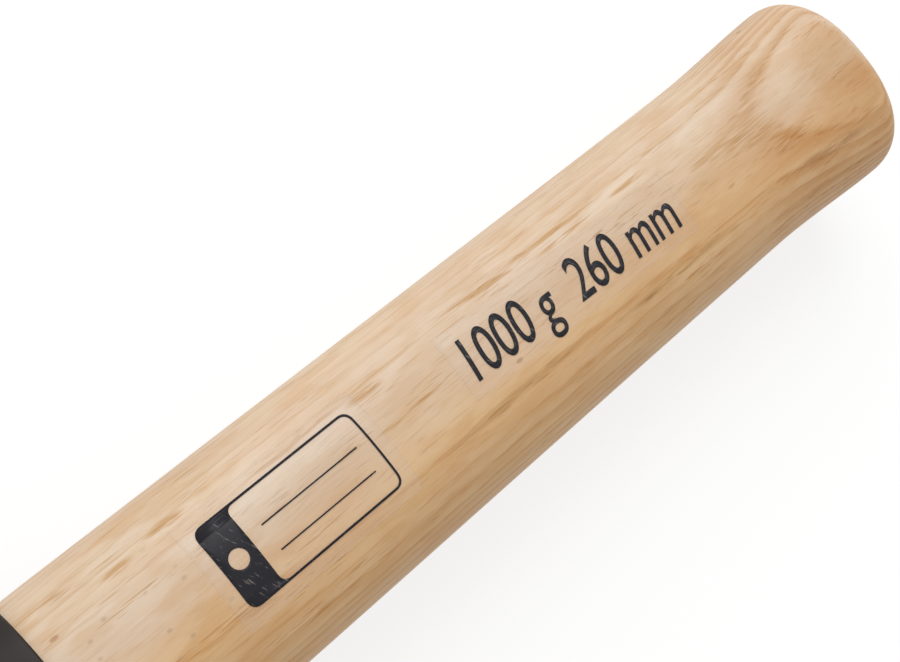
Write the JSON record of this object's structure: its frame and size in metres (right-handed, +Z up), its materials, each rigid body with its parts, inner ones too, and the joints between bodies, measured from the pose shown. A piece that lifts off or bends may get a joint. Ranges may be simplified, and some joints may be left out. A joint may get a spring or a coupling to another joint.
{
  "type": "club hammer",
  "caption": "Short club hammer: double-faced square steel head wedged on an oval hickory handle, with a steel sleeve that guards the neck under the head.",
  "frame": {"origin": "middle of the head's lower cheek, straight under the middle of the eye; the hammer lies on this cheek", "axes": "+X along the handle from the eye to the butt, +Y along the head from face to face, +Z up, out of the upper cheek"},
  "size_m": [0.26, 0.1, 0.04],
  "materials": {
    "head_lacquer": "black lacquer over forged steel, with bare ground striking faces",
    "hickory": "fine-sanded hickory with a satin wax finish",
    "sleeve_lacquer": "satin black-brown lacquer on sheet steel",
    "wedge_wood": "raw sawn hardwood",
    "ring_steel": "bright steel, slightly dulled"
  },
  "bodies": {
    "root": {"hammer_head": "head_lacquer", "handle": "hickory", "guard_sleeve": "sleeve_lacquer", "wooden_wedge": "wedge_wood", "ring_wedge": "ring_steel"}
  },
  "joints": []
}
